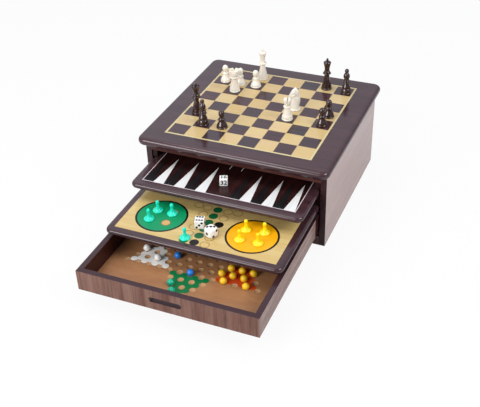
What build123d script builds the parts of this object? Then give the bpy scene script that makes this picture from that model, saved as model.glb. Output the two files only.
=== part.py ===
from build123d import *
from math import cos, pi, radians, sin, sqrt
import os

# Games compendium box: a veneered box whose lid is a chess board, with two
# sliding board trays (backgammon, then ludo) and a drawer whose floor is a
# six-pointed-star marble board.  Men, dice and marbles stand where play left
# them.
#
# Frame: millimetres, +Z up, the front of the box faces -Y.  The origin is the
# middle of the carcass's footprint, on the surface that the box stands on.
# The trays and the drawer are modelled pulled out by the *_open sizes.

# ---------------------------------------------------------------- sizes ----
# Carcass
carcass_width = 289.0
carcass_depth = 259.0
panel = 9.0                 # side panels and apron
back_thickness = 6.0
back_rebate = 4.0           # how far the back panel is let into each side
bottom_thickness = 15.0
apron_height = 15.0
overhang_front = 19.0       # chess board beyond the carcass
overhang_back = 16.0
overhang_side = 6.5
lid_thickness = 13.0
lid_corner = 13.0           # plan radius of the chess board's corners
nose_flat = 0.3             # flat left in the middle of each rounded edge

# Chess field, inlaid flush
squares = 8
square = 28.5
string_width = 2.8          # pale stringing line around the squares
veneer = 0.6

# Trays and drawer
side_clearance = 1.5        # each side, between a tray or the drawer and the carcass
tray_depth = 265.0
tray_thickness = 9.0
tray_corner = 11.0
shut_proud = 12.5           # how far shut trays stand out of the carcass
backgammon_open = 65.0
ludo_open = 146.5
drawer_open = 225.0
running = 0.3               # clearance above and below everything that slides
head_room = 0.5             # clearance over the tallest man on a tray

# Backgammon board
points_margin = 14.25       # tray's nose to the outer edge of the pale line
points_line = 1.2
bar_width = 36.0            # between the two groups of six points
bar_line_gap = 19.0         # between the two pale lines of the bar
point_length = 69.5
points_per_side = 12
cube_place = (-1.5, 45.0)   # from the middle line, behind the tray's nose

# Ludo board
ludo_margin = 11.5
ludo_home_side = 70.2       # centre of a home circle from the middle line
ludo_home_front = 57.5      # and from the tray's nose
ludo_spot = 13.5            # a home spot from the centre of its circle
ludo_scout = (-15.9, 21.5)  # the man out on the track, behind the tray's nose
die_place = (-7.5, 53.4)
round_die_place = (16.4, 38.6)

# Drawer
drawer_height = 32.5
drawer_lift = 8.0           # drawer above the bottom panel
drawer_gap = 6.5            # drawer's rim to the underside of the ludo tray
drawer_wall = 8.5
drawer_floor = 4.0
floor_rebate = 4.0          # how far the floor is let into the walls
slot_length = 48.0          # finger slot in the drawer's front
slot_height = 8.0

# Marble star: 121 holes in rows, pockets not through
star_pitch = 16.6
star_front = 135.5          # centre of the star behind the drawer's front
hole_across = 7.8           # across the flats of a six-sided pocket
hole_depth = 2.6
marble = 10.4
marble_clearance = 0.1

# Runners
runner_bearing = 2.2        # how far a runner reaches under a tray's flat underside
runner_setback = 2.0        # behind the front edges of the sides

# Men and dice.  The many small round pieces are turned with flat sides, so
# that the whole model stays light.
man_base = 8.7              # base radius of every chessman
pawn_height = 29.0
rook_height = 37.0
knight_height = 37.0
bishop_height = 42.5
queen_height = 51.5
king_height = 54.0
ludo_man_height = 18.0
ludo_man_base = 7.2
doubling_cube = 12.0
cube_edge = 0.8             # chamfers on the cubes
die = 14.0
die_edge = 1.5
round_die = 16.5
man_sides = 12
counter_sides = 10

# ----------------------------------------------------------- positions ----
x_side = carcass_width / 2
x_inner = x_side - panel
tray_width = 2 * (x_inner - side_clearance)
x_tray = tray_width / 2
runner_width = side_clearance + tray_thickness / 2 + runner_bearing
y_front = -carcass_depth / 2
y_back = carcass_depth / 2
y_shut = y_front - shut_proud
row_pitch = star_pitch * sqrt(3) / 2

# Levels, from the bottom panel up
drawer_bottom = bottom_thickness + drawer_lift
floor_top = drawer_bottom + drawer_floor
drawer_top = drawer_bottom + drawer_height
ludo_bottom = drawer_top + drawer_gap
ludo_top = ludo_bottom + tray_thickness
backgammon_bottom = ludo_top + ludo_man_height + head_room
backgammon_top = backgammon_bottom + tray_thickness
apron_bottom = backgammon_top + doubling_cube + head_room
carcass_height = apron_bottom + apron_height
lid_top = carcass_height + lid_thickness

lid_width = carcass_width + 2 * overhang_side
lid_front = y_front - overhang_front
lid_back = y_back + overhang_back
chess_y = (lid_front + lid_back) / 2

backgammon_nose = y_shut - backgammon_open
ludo_nose = y_shut - ludo_open
drawer_front_y = y_shut - drawer_open
drawer_back_y = drawer_front_y + tray_depth
star_y = drawer_front_y + star_front


# -------------------------------------------------------------- helpers ----
def block(x0, x1, y0, y1, z0, z1):
    """A box between two corners."""
    centre = Pos((x0 + x1) / 2, (y0 + y1) / 2, (z0 + z1) / 2)
    return centre * Box(x1 - x0, y1 - y0, z1 - z0)


def nosed_board(width, front, back, top, thickness, corner, square_back=False):
    """A board with rounded corners and a full round nose on its edges.

    With a square back the nose runs along the front and the sides only.
    """
    board = block(-width / 2, width / 2, front, back, top - thickness, top)
    uprights = board.edges().filter_by(Axis.Z).sort_by(Axis.Y)
    board = fillet(uprights[:2] if square_back else uprights, corner)
    levels = board.faces().sort_by(Axis.Z)
    rims = (levels[0].edges() + levels[-1].edges()).sort_by(Axis.Y)
    return fillet(rims[:-2] if square_back else rims, (thickness - nose_flat) / 2)


def prism(points, bottom, height):
    """A flat outline made solid upwards from a level."""
    face = make_face(Polyline(*points, close=True))
    return Pos(0, 0, bottom) * extrude(face, height)


def turned(shares, radius, height, sides):
    """A slender flat-sided turning on Z = 0.

    The profile is a list of (share of radius, share of height), foot to top,
    and a share of no radius closes it in a point.  Each band between two
    points is a ring of flat faces.
    """
    rings = []
    for across, up in shares:
        turns = [2 * pi * k / sides for k in range(sides if across > 0 else 1)]
        r = across * radius
        rings.append([Vector(r * cos(t), r * sin(t), up * height) for t in turns])
    outlines = [ring for ring in (rings[0], rings[-1]) if len(ring) > 1]
    for low, high in zip(rings, rings[1:]):
        for k in range(sides):
            corners = [low[k % len(low)], low[(k + 1) % len(low)],
                       high[(k + 1) % len(high)], high[k % len(high)]]
            outlines.append([c for i, c in enumerate(corners) if c != corners[i - 1]])
    faces = [Face(Wire.make_polygon(outline)) for outline in outlines]
    return Solid(Shell(faces))


def broken_cube(side, edge):
    """A cube standing on Z = 0 with its edges broken."""
    cube = Pos(0, 0, side / 2) * Box(side, side, side)
    return chamfer(cube.edges(), edge)


def both_sides(solid):
    """A piece and its mirror image across the middle of the box."""
    return [solid, mirror(solid, Plane.YZ)]


def save(name, solids):
    """Write one sub-part, a single solid or a group of separate ones."""
    if isinstance(solids, list):
        solids = Compound(solids)
    solids.label = name
    export_step(solids, "parts/" + name + ".step")


# -------------------------------------------------------------- carcass ----
def chess_lid():
    """Top board, with a shallow recess that takes the inlay."""
    half = squares * square / 2 + string_width
    board = nosed_board(lid_width, lid_front, lid_back, lid_top, lid_thickness, lid_corner)
    return board - block(-half, half, chess_y - half, chess_y + half, lid_top - veneer, lid_top)


def chess_squares(parity):
    """Squares of one colour; the front left square has parity 0."""
    corner_x = -squares * square / 2
    corner_y = chess_y - squares * square / 2
    tiles = []
    for column in range(squares):
        for row in range(squares):
            if (column + row) % 2 == parity:
                x = corner_x + column * square
                y = corner_y + row * square
                tiles.append(block(x, x + square, y, y + square, lid_top - veneer, lid_top))
    return tiles


def line_frame(width, depth, middle_y, line, top):
    """A flat rectangular line of veneer, given by its outer sizes."""
    outer = block(-width / 2, width / 2, middle_y - depth / 2, middle_y + depth / 2, top - veneer, top)
    x = width / 2 - line
    y = depth / 2 - line
    return outer - block(-x, x, middle_y - y, middle_y + y, top - veneer, top)


def side_panel():
    """Right side, rebated at the back for the back panel."""
    side = block(x_inner, x_side, y_front, y_back, 0, carcass_height)
    rebate = block(x_inner, x_inner + back_rebate, y_back - back_thickness, y_back, 0, carcass_height)
    return side - rebate


def back_panel():
    reach = x_inner + back_rebate
    return block(-reach, reach, y_back - back_thickness, y_back, 0, carcass_height)


def bottom_panel():
    return block(-x_inner, x_inner, y_front, y_back - back_thickness, 0, bottom_thickness)


def apron():
    return block(-x_inner, x_inner, y_front, y_front + panel, apron_bottom, carcass_height)


def runner(bottom, top):
    """Right-hand strip between two levels, glued to the side panel."""
    front = y_front + runner_setback
    back = y_back - back_thickness
    return block(x_inner - runner_width, x_inner, front, back, bottom, top)


def top_cleat():
    """Strip above the first tray: it glues the lid on and keeps the tray down."""
    return runner(backgammon_top + running, carcass_height) - apron()


# ------------------------------------------------------ backgammon tray ----
def point_outline(index, far):
    """The three corners of one point, counted from the left."""
    half_group = points_per_side // 2
    field = tray_width / 2 - points_margin - points_line
    point_width = (2 * field - bar_width) / points_per_side
    if index < half_group:
        left = -field + index * point_width
    else:
        left = field - (points_per_side - index) * point_width
    near_y = backgammon_nose + points_margin + points_line
    far_y = backgammon_nose + tray_depth - points_margin - points_line
    base, tip = (far_y, far_y - point_length) if far else (near_y, near_y + point_length)
    return [(left, base), (left + point_width, base), (left + point_width / 2, tip)]


def backgammon_points(parity):
    """Points of one colour along both long sides, as inlaid veneer."""
    points = []
    for far in (False, True):
        for index in range(points_per_side):
            if (index + far) % 2 == parity:
                outline = point_outline(index, far)
                points.append(prism(outline, backgammon_top - veneer, veneer))
    return points


def bar_lines():
    """Two pale lines that mark the bar between the rows of points."""
    start = points_margin + points_line + point_length
    front = backgammon_nose + start
    back = backgammon_nose + tray_depth - start
    lines = []
    for side in (-1, 1):
        x = side * bar_line_gap / 2
        line = block(x - points_line / 2, x + points_line / 2, front, back,
                     backgammon_top - veneer, backgammon_top)
        lines.append(line)
    return lines


def backgammon_border():
    """Pale line around the playing field."""
    return line_frame(tray_width - 2 * points_margin, tray_depth - 2 * points_margin,
                      backgammon_nose + tray_depth / 2, points_line, backgammon_top)


def backgammon_recess():
    x = tray_width / 2 - points_margin
    return block(-x, x, backgammon_nose + points_margin,
                 backgammon_nose + tray_depth - points_margin,
                 backgammon_top - veneer, backgammon_top)


def backgammon_board():
    board = nosed_board(tray_width, backgammon_nose, backgammon_nose + tray_depth,
                        backgammon_top, tray_thickness, tray_corner, square_back=True)
    return board - backgammon_recess()


def backgammon_field(inlays):
    """Dark ground veneer, cut out around the border, the points and the bar."""
    return backgammon_recess() - inlays


# ------------------------------------------------------------ ludo tray ----
def ludo_panel():
    """Pale veneer that carries the ludo track, let into its tray."""
    x = tray_width / 2 - ludo_margin
    return block(-x, x, ludo_nose + ludo_margin, ludo_nose + tray_depth - ludo_margin,
                 ludo_top - veneer, ludo_top)


def ludo_board():
    board = nosed_board(tray_width, ludo_nose, ludo_nose + tray_depth,
                        ludo_top, tray_thickness, tray_corner, square_back=True)
    return board - ludo_panel()


# --------------------------------------------------------------- drawer ----
def drawer_front():
    """Front wall with a round-ended finger slot and a rebate for the floor."""
    wall = block(-x_tray, x_tray, drawer_front_y, drawer_front_y + drawer_wall,
                 drawer_bottom, drawer_top)
    slot = extrude(SlotOverall(slot_length, slot_height), drawer_wall, both=True)
    slot_z = (drawer_bottom + drawer_top) / 2
    wall -= Pos(0, drawer_front_y + drawer_wall / 2, slot_z) * Rot(90, 0, 0) * slot
    return wall - floor_plate()


def drawer_side():
    """Right wall, rebated for the floor."""
    wall = block(x_tray - drawer_wall, x_tray, drawer_front_y + drawer_wall, drawer_back_y,
                 drawer_bottom, drawer_top)
    return wall - floor_plate()


def drawer_back():
    x = x_tray - drawer_wall
    wall = block(-x, x, drawer_back_y - drawer_wall, drawer_back_y, drawer_bottom, drawer_top)
    return wall - floor_plate()


def floor_plate():
    x = x_tray - drawer_wall + floor_rebate
    inset = drawer_wall - floor_rebate
    return block(-x, x, drawer_front_y + inset, drawer_back_y - inset, drawer_bottom, floor_top)


def star_holes():
    """Centres of the 121 holes: two crossed triangles of 13 holes a side."""
    centres = []
    for row in range(-8, 9):
        count = 9 + abs(row) if abs(row) <= 4 else 9 - abs(row)
        for k in range(count):
            x = (k - (count - 1) / 2) * star_pitch
            centres.append((x, star_y + row * row_pitch))
    return centres


def star_floor():
    """Drawer floor with a six-sided countersink for each marble."""
    mouth = hole_across / 2 / cos(pi / 6)
    countersink = Pos(0, 0, -hole_depth) * turned([(0, 0), (1, 1)], mouth, hole_depth, 6)
    return floor_plate() - [Pos(x, y, floor_top) * countersink for x, y in star_holes()]


def marble_at(half_column, row):
    """A marble just clear of its countersink, placed from the star's centre."""
    slope = hole_across / 2 / hole_depth
    seat = (marble / 2 + marble_clearance) * sqrt(1 + slope ** 2) / slope - hole_depth
    angles = [radians(a) for a in range(-90, 91, 30)]
    profile = [(cos(a) if abs(sin(a)) < 1 else 0, (1 + sin(a)) / 2) for a in angles]
    ball = turned(profile, marble / 2, marble, counter_sides)
    x = half_column * star_pitch / 2
    y = star_y + row * row_pitch
    return Pos(x, y, floor_top + seat - marble / 2) * ball


def marbles(places):
    """Marbles of one colour, from half columns and rows of the star."""
    return [marble_at(half_column, row) for half_column, row in places]


# ------------------------------------------------------------- chessmen ----
def foot(waist, up):
    """Plinth and flaring bell that every chessman shares, up to its waist."""
    return [(1, 0), (1, 0.07), (0.82, 0.17), (0.56, 0.33), (waist, up)]


def chess_pawn():
    head = [(0.58, 0.6), (0.38, 0.66), (0.54, 0.8), (0.42, 0.93), (0, 1)]
    return turned(foot(0.38, 0.54) + head, man_base, pawn_height, man_sides)


def chess_rook():
    """Castle head with a sunk top and four gaps in its parapet."""
    head = [(0.8, 0.68), (0.96, 0.8), (0.96, 1)]
    tower = turned(foot(0.48, 0.6) + head, man_base, rook_height, man_sides)
    parapet = 0.1 * rook_height
    well = Pos(0, 0, rook_height) * Cylinder(0.6 * man_base, 2 * parapet)
    gap = Pos(0, 0, rook_height) * Box(0.3 * man_base, 3 * man_base, parapet)
    return tower - [well, gap, Rot(0, 0, 90) * gap]


def chess_bishop():
    """Collared bishop with a ball on its mitre."""
    head = [(0.78, 0.57), (0.42, 0.62), (0.58, 0.74), (0.26, 0.87), (0.36, 0.94), (0, 1)]
    return turned(foot(0.4, 0.5) + head, man_base, bishop_height, man_sides)


def chess_split_bishop():
    """Shorter bishop whose open mitre is cut by a slanting wedge."""
    head = [(0.44, 0.58), (0.66, 0.84), (0.6, 0.94), (0.3, 1)]
    body = turned(foot(0.42, 0.48) + head, man_base, rook_height, man_sides)
    reach = man_base
    wedge = prism([(-0.16 * reach, reach), (0.16 * reach, reach), (0, -0.5 * reach)], -reach, 2 * reach)
    return body - Pos(0, 0, 0.87 * rook_height) * Rot(0, 14, 0) * Rot(90, 0, 0) * wedge


def chess_queen():
    """Double collar and a flared coronet with a ball in it."""
    head = [(0.76, 0.6), (0.5, 0.64), (0.48, 0.7), (0.76, 0.88), (0.36, 0.91), (0.3, 0.97), (0, 1)]
    return turned(foot(0.42, 0.54) + head, man_base, queen_height, man_sides)


def chess_king():
    """Wide collar, a flared crown with a domed top, and a small finial."""
    head = [(0.78, 0.53), (0.52, 0.58), (0.5, 0.66), (0.72, 0.83), (0.6, 0.88), (0.12, 0.92),
            (0.18, 0.97), (0, 1)]
    return turned(foot(0.46, 0.49) + head, man_base, king_height, man_sides)


def chess_knight():
    """Turned foot and a horse's head, shaped from the side and the front, facing -X."""
    r = man_base
    h = knight_height
    collar = 0.23
    base = turned([(1, 0), (1, 0.07), (0.9, 0.17), (0.82, collar)], r, h, man_sides)
    outline = [
        (0.78, collar), (0.9, 0.5), (0.88, 0.76), (0.64, 0.91), (0.1, 0.98), (-0.2, 1),   # mane, ears
        (-0.56, 0.9), (-1.2, 0.74), (-1.3, 0.66), (-0.84, 0.59),                          # brow, muzzle
        (-0.48, 0.62), (-0.56, 0.47), (-0.76, collar),                                    # throat, chest
    ]
    profile = make_face(Polyline(*[(x * r, z * h) for x, z in outline], close=True))
    head = extrude(Plane.XZ * profile, r, both=True)
    front = [(0.74 * r, collar * h), (0.42 * r, h), (-0.42 * r, h), (-0.74 * r, collar * h)]
    breadth = extrude(Plane.YZ * make_face(Polyline(*front, close=True)), 2 * r, both=True)
    return base + (head & breadth)


def on_square(man, column, row, aside, turn=0):
    """A man on a square, counted from the front left corner, set down a little aside of its middle."""
    x = (column + 0.5 - squares / 2) * square + aside[0]
    y = chess_y + (row + 0.5 - squares / 2) * square + aside[1]
    return Pos(x, y, lid_top) * Rot(0, 0, turn) * man


def white_chessmen():
    pawn = chess_pawn()
    men = [on_square(pawn, 0, 6, (3.4, -0.5)), on_square(pawn, 1, 6, (2.9, -3.0)), on_square(pawn, 2, 6, (1.0, -2.0))]
    men.append(on_square(chess_rook(), 1, 5, (2.6, 1.0), 20))
    men.append(on_square(chess_king(), 2, 7, (1.3, 0.5)))
    men.append(on_square(chess_knight(), 5, 4, (1.8, 3.1), 20))
    men.append(on_square(chess_split_bishop(), 5, 3, (1.4, -1.8), 20))
    return men


def dark_chessmen():
    pawn = chess_pawn()
    bishop = chess_bishop()
    men = [on_square(pawn, 2, 1, (2.3, -2.1)), on_square(pawn, 7, 3, (-0.3, -1.3)), on_square(pawn, 7, 4, (1.7, -1.7))]
    men += [on_square(bishop, 1, 1, (-0.1, -3.0)), on_square(bishop, 7, 7, (4.4, -3.6))]
    men.append(on_square(chess_queen(), 0, 2, (4.0, -1.4)))
    men.append(on_square(chess_king(), 6, 7, (-1.3, 0.7)))
    return men


# -------------------------------------------------------- men and dice ----
def ludo_man():
    """Moulded counter: a dished disc, a thin stem and a ball head."""
    shares = [(1, 0), (1, 0.1), (0.34, 0.24), (0.18, 0.72), (0.36, 0.86), (0.14, 1)]
    return turned(shares, ludo_man_base, ludo_man_height, counter_sides)


def on_ludo_tray(solid, place):
    """Stand a piece on the ludo tray, placed from the middle line and the tray's nose."""
    return Pos(place[0], ludo_nose + place[1], ludo_top) * solid


def men_at_home(side, corners):
    """Men of one colour near the spots of their home circle, side -1 or 1."""
    places = [(side * ludo_home_side + ludo_spot * across, ludo_home_front + ludo_spot * back)
              for across, back in corners]
    return [on_ludo_tray(ludo_man(), place) for place in places]


def green_ludo_men():
    home = men_at_home(-1, [(-1, -1), (-0.8, 0.7), (0.9, 0.7)])
    return home + [on_ludo_tray(ludo_man(), ludo_scout)]


def yellow_ludo_men():
    return men_at_home(1, [(-1, -1), (-1, 0.8), (1, 1), (1, -0.9)])


def doubling_cube_piece():
    x, behind = cube_place
    place = Pos(x, backgammon_nose + behind, backgammon_top) * Rot(0, 0, 22)
    return place * broken_cube(doubling_cube, cube_edge)


def square_die():
    return on_ludo_tray(Rot(0, 0, 16) * broken_cube(die, die_edge), die_place)


def rounded_die():
    """A die with its corners and edges cut well back."""
    return on_ludo_tray(Rot(0, 0, -21) * broken_cube(round_die, round_die / 4), round_die_place)


# ----------------------------------------------------------------- build ----
os.makedirs("parts", exist_ok=True)

save("chess_lid", chess_lid())
save("chess_squares_dark", chess_squares(0))
save("chess_squares_light", chess_squares(1))
chess_outer = squares * square + 2 * string_width
save("chess_stringing", line_frame(chess_outer, chess_outer, chess_y, string_width, lid_top))
right_side = side_panel()
save("side_panel_right", right_side)
save("side_panel_left", mirror(right_side, Plane.YZ))
save("back_panel", back_panel())
save("bottom_panel", bottom_panel())
save("front_apron", apron())
save("top_cleats", both_sides(top_cleat()))
save("tray_runners", both_sides(runner(ludo_top + running, backgammon_bottom - running)))
save("drawer_guides", both_sides(runner(drawer_top + running, ludo_bottom - running)))
save("drawer_skids", both_sides(runner(bottom_thickness, drawer_bottom - running)))

light_points = backgammon_points(1)
dark_points = backgammon_points(0)
border = [backgammon_border()] + bar_lines()
save("backgammon_board", backgammon_board())
save("backgammon_points_light", light_points)
save("backgammon_points_dark", dark_points)
save("backgammon_lines", border)
save("backgammon_field", backgammon_field(light_points + dark_points + border))
save("doubling_cube", doubling_cube_piece())

save("ludo_board", ludo_board())
save("ludo_panel", ludo_panel())
save("ludo_men_green", green_ludo_men())
save("ludo_men_yellow", yellow_ludo_men())
save("die_square", square_die())
save("die_rounded", rounded_die())

right_wall = drawer_side()
save("drawer_front", drawer_front())
save("drawer_side_right", right_wall)
save("drawer_side_left", mirror(right_wall, Plane.YZ))
save("drawer_back", drawer_back())
save("drawer_floor", star_floor())
save("marbles_white", marbles([(-10, -2), (-7, -3)]))
save("marbles_blue", marbles([(-4, -2), (0, -4)]))
save("marbles_green", marbles([(-2, -6), (-1, -7)]))
save("marbles_yellow", marbles([(6, -2), (8, -2), (10, -2), (5, -3), (7, -3), (9, -3),
                                (6, -4), (10, -4)]))

save("chessmen_white", white_chessmen())
save("chessmen_dark", dark_chessmen())
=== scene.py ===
# %% [markdown]
# # A games compendium box
# A veneered box opens like a staircase: a chess board on top, a backgammon
# tray and a ludo tray that slide out under it, and a drawer whose floor is a
# star board for marbles. This notebook dresses the box: it gives every board
# its veneer, turns the men, moulds the dice and sets the box in a plain studio.

# %% Load the fixed frame
from math import cos, pi, radians, sin, sqrt

import bmesh
import bpy
import numpy as np
from mathutils import Matrix, Vector
from mathutils.geometry import delaunay_2d_cdt


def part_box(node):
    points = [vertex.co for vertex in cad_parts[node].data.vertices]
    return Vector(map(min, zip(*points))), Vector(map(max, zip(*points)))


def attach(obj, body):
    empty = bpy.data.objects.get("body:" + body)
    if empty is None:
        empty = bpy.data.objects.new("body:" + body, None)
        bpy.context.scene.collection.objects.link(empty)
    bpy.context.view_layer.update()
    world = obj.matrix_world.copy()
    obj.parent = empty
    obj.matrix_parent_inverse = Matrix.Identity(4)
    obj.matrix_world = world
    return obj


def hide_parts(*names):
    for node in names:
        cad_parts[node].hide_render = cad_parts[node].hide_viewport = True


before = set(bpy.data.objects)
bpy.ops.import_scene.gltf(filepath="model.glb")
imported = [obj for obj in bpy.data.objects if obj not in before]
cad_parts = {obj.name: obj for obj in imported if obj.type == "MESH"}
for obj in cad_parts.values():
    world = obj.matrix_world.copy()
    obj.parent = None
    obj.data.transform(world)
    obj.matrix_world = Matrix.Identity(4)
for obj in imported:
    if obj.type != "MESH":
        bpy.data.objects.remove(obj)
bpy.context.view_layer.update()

# %% [markdown]
# ## Measures
# A joiner thinks in millimetres and Blender in metres, so the shapes below
# are worked out in millimetres and scaled once, when a mesh is made. Every
# place comes from the boxes of the construction's own pieces, so a board or a
# man can't drift away from what carries it.

# %% Measures of the construction, in millimetres
mm = 0.001


def span(node):
    """Lowest and highest corner of a piece of the construction, in millimetres."""
    low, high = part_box(node)
    return np.array(low) / mm, np.array(high) / mm


lid_low, lid_high = span("chess_lid")
squares_low, squares_high = span("chess_squares_light")
backgammon_low, backgammon_high = span("backgammon_board")
ludo_low, ludo_high = span("ludo_board")
panel_low, panel_high = span("ludo_panel")
drawer_low = span("drawer_front")[0]
floor_low, floor_high = span("drawer_floor")
square = (squares_high[0] - squares_low[0]) / 8
veneer_thickness = panel_high[2] - panel_low[2]
print("one chess square is", round(square, 2), "mm")

# %% [markdown]
# ## The camera
# The box is seen from above its right front corner with a moderately long
# lens, from about 1.4 metres away. A camera looks down its own -Z, so three
# turns place it: a roll, a tilt up from straight down, and a swing around the
# box.

# %% Camera
camera_data = bpy.data.cameras.new("camera")
camera_data.lens = 63.04
camera_data.sensor_width = 36.0
camera_data.clip_start = 0.05
camera = bpy.data.objects.new("camera", camera_data)
bpy.context.scene.collection.objects.link(camera)
swing, height_angle, roll = radians(23.661), radians(35.088), radians(-1.955)
camera.matrix_world = (
    Matrix.Translation(Vector((428.05, -1086.15, 778.73)) * mm)
    @ Matrix.Rotation(swing, 4, "Z")
    @ Matrix.Rotation(pi / 2 - height_angle, 4, "X")
    @ Matrix.Rotation(roll, 4, "Z")
)
bpy.context.scene.camera = camera
bpy.context.scene.view_settings.view_transform = "Standard"
print("camera stands", round(camera.location.length, 2), "m from the box")

# %% [markdown]
# ## Materials, node by node
# A finish is a network of nodes that ends in one Principled shader. Two small
# helpers keep the cells below short: one turns a paint chart's hex value into
# the linear light that a shader adds up, the other adds a node together with
# its settings and its links.

# %% Helpers for materials
FACTOR, COLOUR_A, COLOUR_B, MIXED = 0, 6, 7, 2      # sockets of a colour Mix node


def linear(chart):
    """A hex colour as linear red, green, blue and alpha: each channel is
    divided by 12.92 near black and is otherwise a power of 2.4."""
    channels = [int(chart[k:k + 2], 16) / 255 for k in (1, 3, 5)]
    return [c / 12.92 if c <= 0.04045 else ((c + 0.055) / 1.055) ** 2.4 for c in channels] + [1.0]


def add(tree, kind, inputs=None, **settings):
    """Adds one node: settings are its own properties, and each input is a
    value, the socket that feeds it, or a node whose first output feeds it."""
    node = tree.nodes.new("ShaderNode" + kind)
    for name, value in settings.items():
        setattr(node, name, value)
    for name, value in (inputs or {}).items():
        if isinstance(value, bpy.types.Node):
            value = next(socket for socket in value.outputs if socket.enabled)
        if isinstance(value, bpy.types.NodeSocket):
            tree.links.new(value, node.inputs[name])
        else:
            node.inputs[name].default_value = value
    return node


def new_finish(name, **sockets):
    """A new material with constants on its shader's own sockets."""
    material = bpy.data.materials.new(name)
    material.use_nodes = True
    shader = material.node_tree.nodes["Principled BSDF"]
    for socket, value in sockets.items():
        shader.inputs[socket.replace("_", " ")].default_value = value
    return material, material.node_tree, shader


print("materials can be mixed now")

# %% [markdown]
# ## The studio
# Products like this are shot on a white sweep between softboxes. Polished
# men show two upright windows of light each: one softbox stands to the right
# of the box and one in front to the left. A third hangs overhead and draws
# the pale line along every rounded edge. The room behind the camera is dim,
# which keeps the dark men dark.

# %% Floor
floor_mesh = bpy.data.meshes.new("studio_floor")
reach, under = 6.0, -0.0002       # half the sweep's width, and its height, in metres
corners = ((-1, -1), (1, -1), (1, 1), (-1, 1))
floor_mesh.from_pydata([(reach * x, reach * y, under) for x, y in corners], [], [(0, 1, 2, 3)])
floor = bpy.data.objects.new("studio_floor", floor_mesh)
bpy.context.scene.collection.objects.link(floor)
# Matt white paper: pale grey where light falls on it, lifted to white for the eye.
floor_paint, tree, shader = new_finish("matt_white_sweep", Roughness=0.9)
shader.inputs["Base Color"].default_value = linear("#dadada")
path = add(tree, "LightPath")
share = add(tree, "Math", {0: path.outputs["Is Camera Ray"], 1: 0.91}, operation="MULTIPLY")
glow = add(tree, "Emission", {"Color": (1, 1, 1, 1), "Strength": 1.0})
blend = add(tree, "MixShader", {0: share, 1: shader, 2: glow})
tree.links.new(blend.outputs[0], tree.nodes["Material Output"].inputs["Surface"])
floor_mesh.materials.append(floor_paint)
print("floor laid")

# %% World: a white backdrop behind the box and to its left, a dim room in front
# Three smooth ramps set how bright a reflection of the room is: it brightens
# towards the back, upwards and towards the left. The eye itself sees white.
world = bpy.data.worlds.new("studio")
world.use_nodes = True
bpy.context.scene.world = world
tree = world.node_tree
path = add(tree, "LightPath")
direction = add(tree, "SeparateXYZ", {0: add(tree, "TexCoord").outputs["Generated"]})
behind = add(tree, "MapRange", {0: direction.outputs["Y"], 1: -0.55, 2: 0.5, 3: 0.5, 4: 0.85},
             interpolation_type="SMOOTHSTEP")
above = add(tree, "MapRange", {0: direction.outputs["Z"], 1: 0.12, 2: 0.5, 3: 0.45, 4: 1.0},
            interpolation_type="SMOOTHSTEP")
sideways = add(tree, "MapRange", {0: direction.outputs["X"], 1: -0.55, 2: -0.15, 3: 1.32, 4: 0.9},
               interpolation_type="SMOOTHSTEP")
backdrop = add(tree, "Math", {0: behind, 1: above}, operation="MULTIPLY")
backdrop = add(tree, "Math", {0: backdrop, 1: sideways}, operation="MULTIPLY")
seen = add(tree, "Math", {0: path.outputs["Is Camera Ray"], 1: path.outputs["Is Transmission Ray"]},
           operation="MAXIMUM")
level = add(tree, "Math", {0: seen, 1: backdrop}, operation="MAXIMUM")
tree.links.new(level.outputs[0], tree.nodes["Background"].inputs["Strength"])
tint = add(tree, "Mix", {FACTOR: path.outputs["Is Camera Ray"], COLOUR_A: (0.9, 0.95, 1.06, 1),
                         COLOUR_B: (1, 1, 1, 1)}, data_type="RGBA")
tree.links.new(tint.outputs[MIXED], tree.nodes["Background"].inputs["Color"])
print("backdrop hung")


# %% Softboxes
def softbox(name, azimuth, elevation, distance, width, height, power):
    """A rectangular lamp aimed at the middle of the box. Azimuth 0 is
    straight in front of the box and 90 is to its right."""
    lamp = bpy.data.lights.new(name, "AREA")
    lamp.shape = "RECTANGLE"
    lamp.size, lamp.size_y, lamp.energy = width, height, power
    holder = bpy.data.objects.new(name, lamp)
    bpy.context.scene.collection.objects.link(holder)
    a, e = radians(azimuth), radians(elevation)
    aim = Vector((0, -0.1, 0.08))
    place = aim + distance * Vector((sin(a) * cos(e), -cos(a) * cos(e), sin(e)))
    facing = (place - aim).to_track_quat("Z", "Y").to_matrix().to_4x4()
    holder.matrix_world = Matrix.Translation(place) @ facing


softbox("softbox_right", 84, 42, 1.7, 0.7, 0.7, 12)
softbox("softbox_left", -27, 27, 1.7, 1.1, 0.7, 19)
softbox("softbox_above", -70, 72, 1.6, 0.9, 0.5, 6)
print("three softboxes lit")

# %% [markdown]
# ## Shapes from numbers
# Nearly everything in the box is either a board, which is a stack of rounded
# rectangles, or a turning, which is a stack of circles. Both are rings of
# points piled on each other, so one function can skin them all. Where rings
# shrink to a point or two rings coincide, the points are welded afterwards,
# which also closes seams and poles.

# %% Rings, skins and curves
def skin(rings, closed_start=True, closed_end=True):
    """The skin over a stack of rings: rings[i, j] is point j of ring i, and
    each face joins two neighbouring points of two neighbouring rings. A closed
    end is a fan to the middle of its ring."""
    stack = [rings]
    if closed_start:
        stack.insert(0, np.repeat(rings[:1].mean(axis=1, keepdims=True), rings.shape[1], axis=1))
    if closed_end:
        stack.append(np.repeat(rings[-1:].mean(axis=1, keepdims=True), rings.shape[1], axis=1))
    rings = np.concatenate(stack)
    count, points = rings.shape[:2]
    index = np.arange(count * points).reshape(count, points)
    beside = np.roll(index, -1, axis=1)
    faces = np.stack([index[:-1], beside[:-1], beside[1:], index[1:]], axis=-1)
    return rings.reshape(-1, 3), faces.reshape(-1, 4)


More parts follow.
